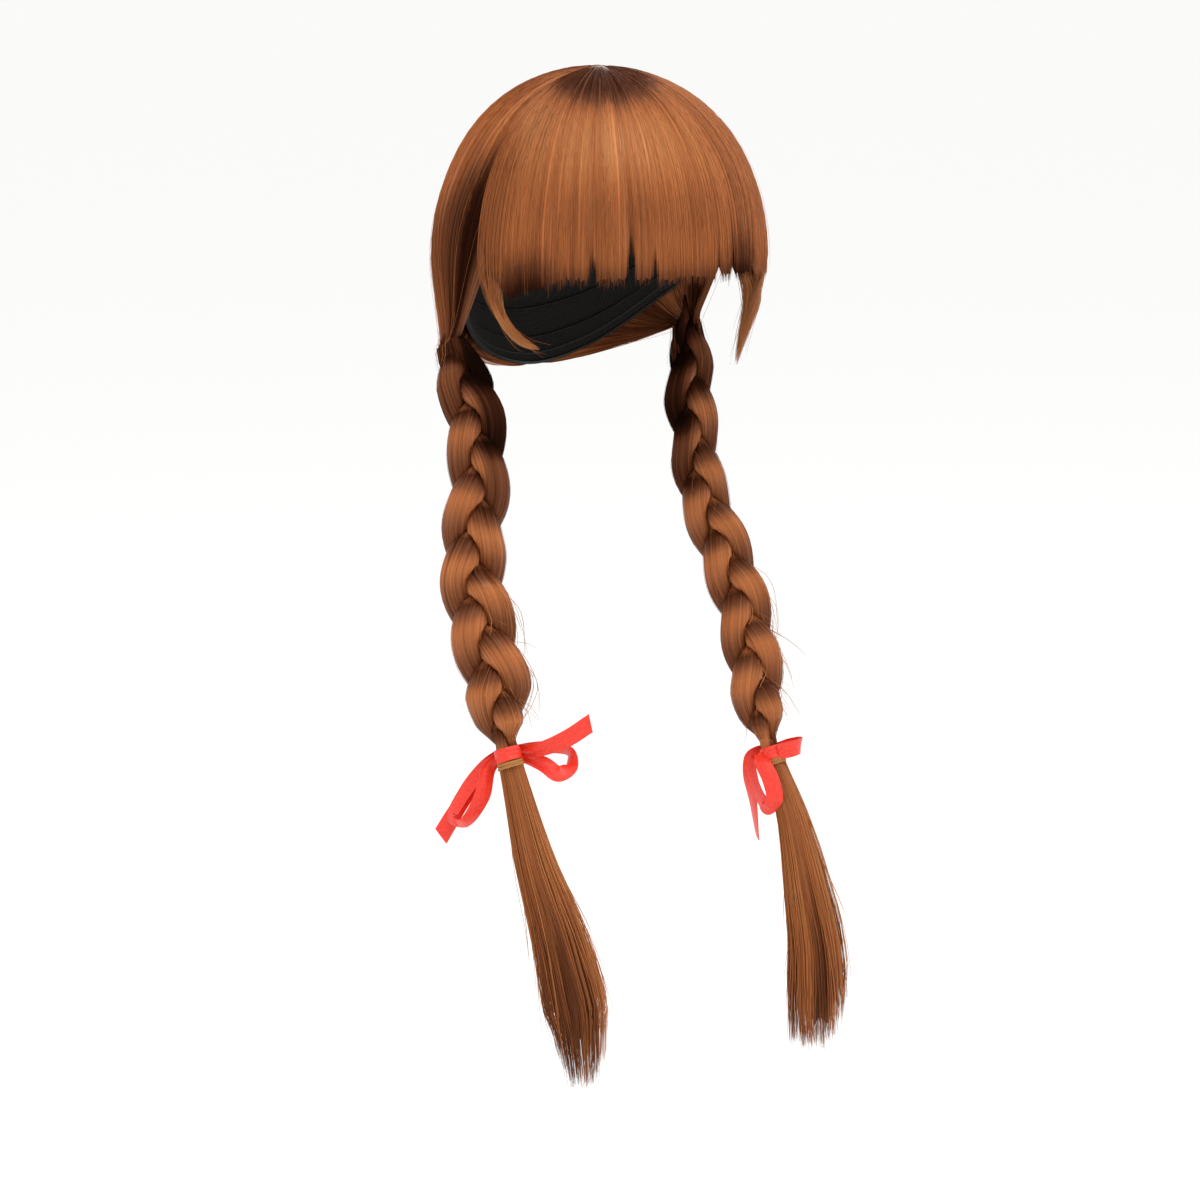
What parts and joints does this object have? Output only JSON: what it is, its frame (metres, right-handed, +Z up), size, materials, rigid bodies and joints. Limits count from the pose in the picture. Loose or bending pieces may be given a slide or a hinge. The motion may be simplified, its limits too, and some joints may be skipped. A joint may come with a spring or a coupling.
{
  "type": "cosplay wig",
  "caption": "Copper-brown cosplay wig on a net cap, with a full fringe, crown hair swept back into low side braids, and a red ribbon bow over the elastic above each loose tail.",
  "frame": {"origin": "inside of the cap at the top of the head, where the head seats", "axes": "+Z up out of the top of the head, -Y out of the face, -X to the wearer's right"},
  "size_m": [0.2439, 0.2146, 0.5799],
  "materials": {
    "hair": "satin synthetic fibre",
    "cap_net": "matt stretch net",
    "skin_top": "matt",
    "ribbon": "satin weave",
    "elastic": "matt"
  },
  "bodies": {
    "root": {"wig_cap": "cap_net", "crown_patch": "skin_top", "fringe": "hair", "crown_hair_right": "hair", "side_lock_right": "hair", "braid_right_strand_1": "hair", "braid_right_strand_2": "hair", "braid_right_strand_3": "hair", "elastic_right": "elastic", "ribbon_right": "ribbon", "tail_tuft_right": "hair", "crown_hair_left": "hair", "side_lock_left": "hair", "braid_left_strand_1": "hair", "braid_left_strand_2": "hair", "braid_left_strand_3": "hair", "elastic_left": "elastic", "ribbon_left": "ribbon", "tail_tuft_left": "hair"}
  },
  "joints": []
}
